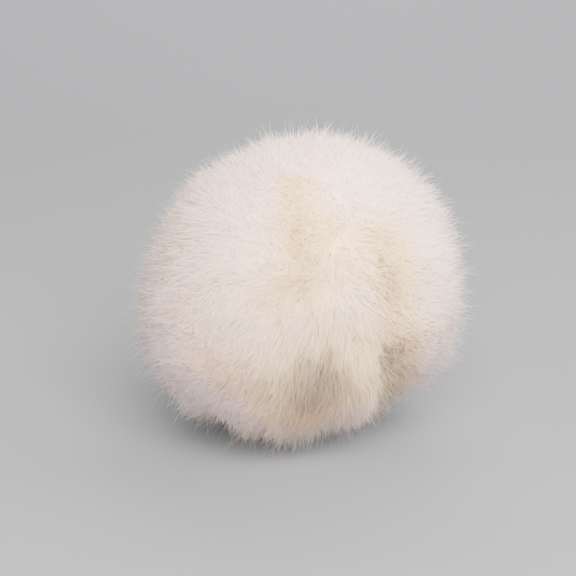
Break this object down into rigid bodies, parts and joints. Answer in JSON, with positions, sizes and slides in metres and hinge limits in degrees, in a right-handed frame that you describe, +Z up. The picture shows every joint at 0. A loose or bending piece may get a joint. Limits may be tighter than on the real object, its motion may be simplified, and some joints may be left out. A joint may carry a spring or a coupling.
{
  "type": "pom pom",
  "caption": "Round ball of long soft ivory fur with an uneven tufted outline, lying on a small flat spot; a trimming for hats, bags and cushions.",
  "frame": {"origin": "on the surface, under the middle of the ball's box", "axes": "+Z up, front towards -Y, +X along the ball's widest extent"},
  "size_m": [0.112, 0.1094, 0.105],
  "materials": {
    "fur": "long soft ivory fur, matt, with warmer roots and paler tips"
  },
  "bodies": {
    "root": {"pom_pom": "fur"}
  },
  "joints": []
}
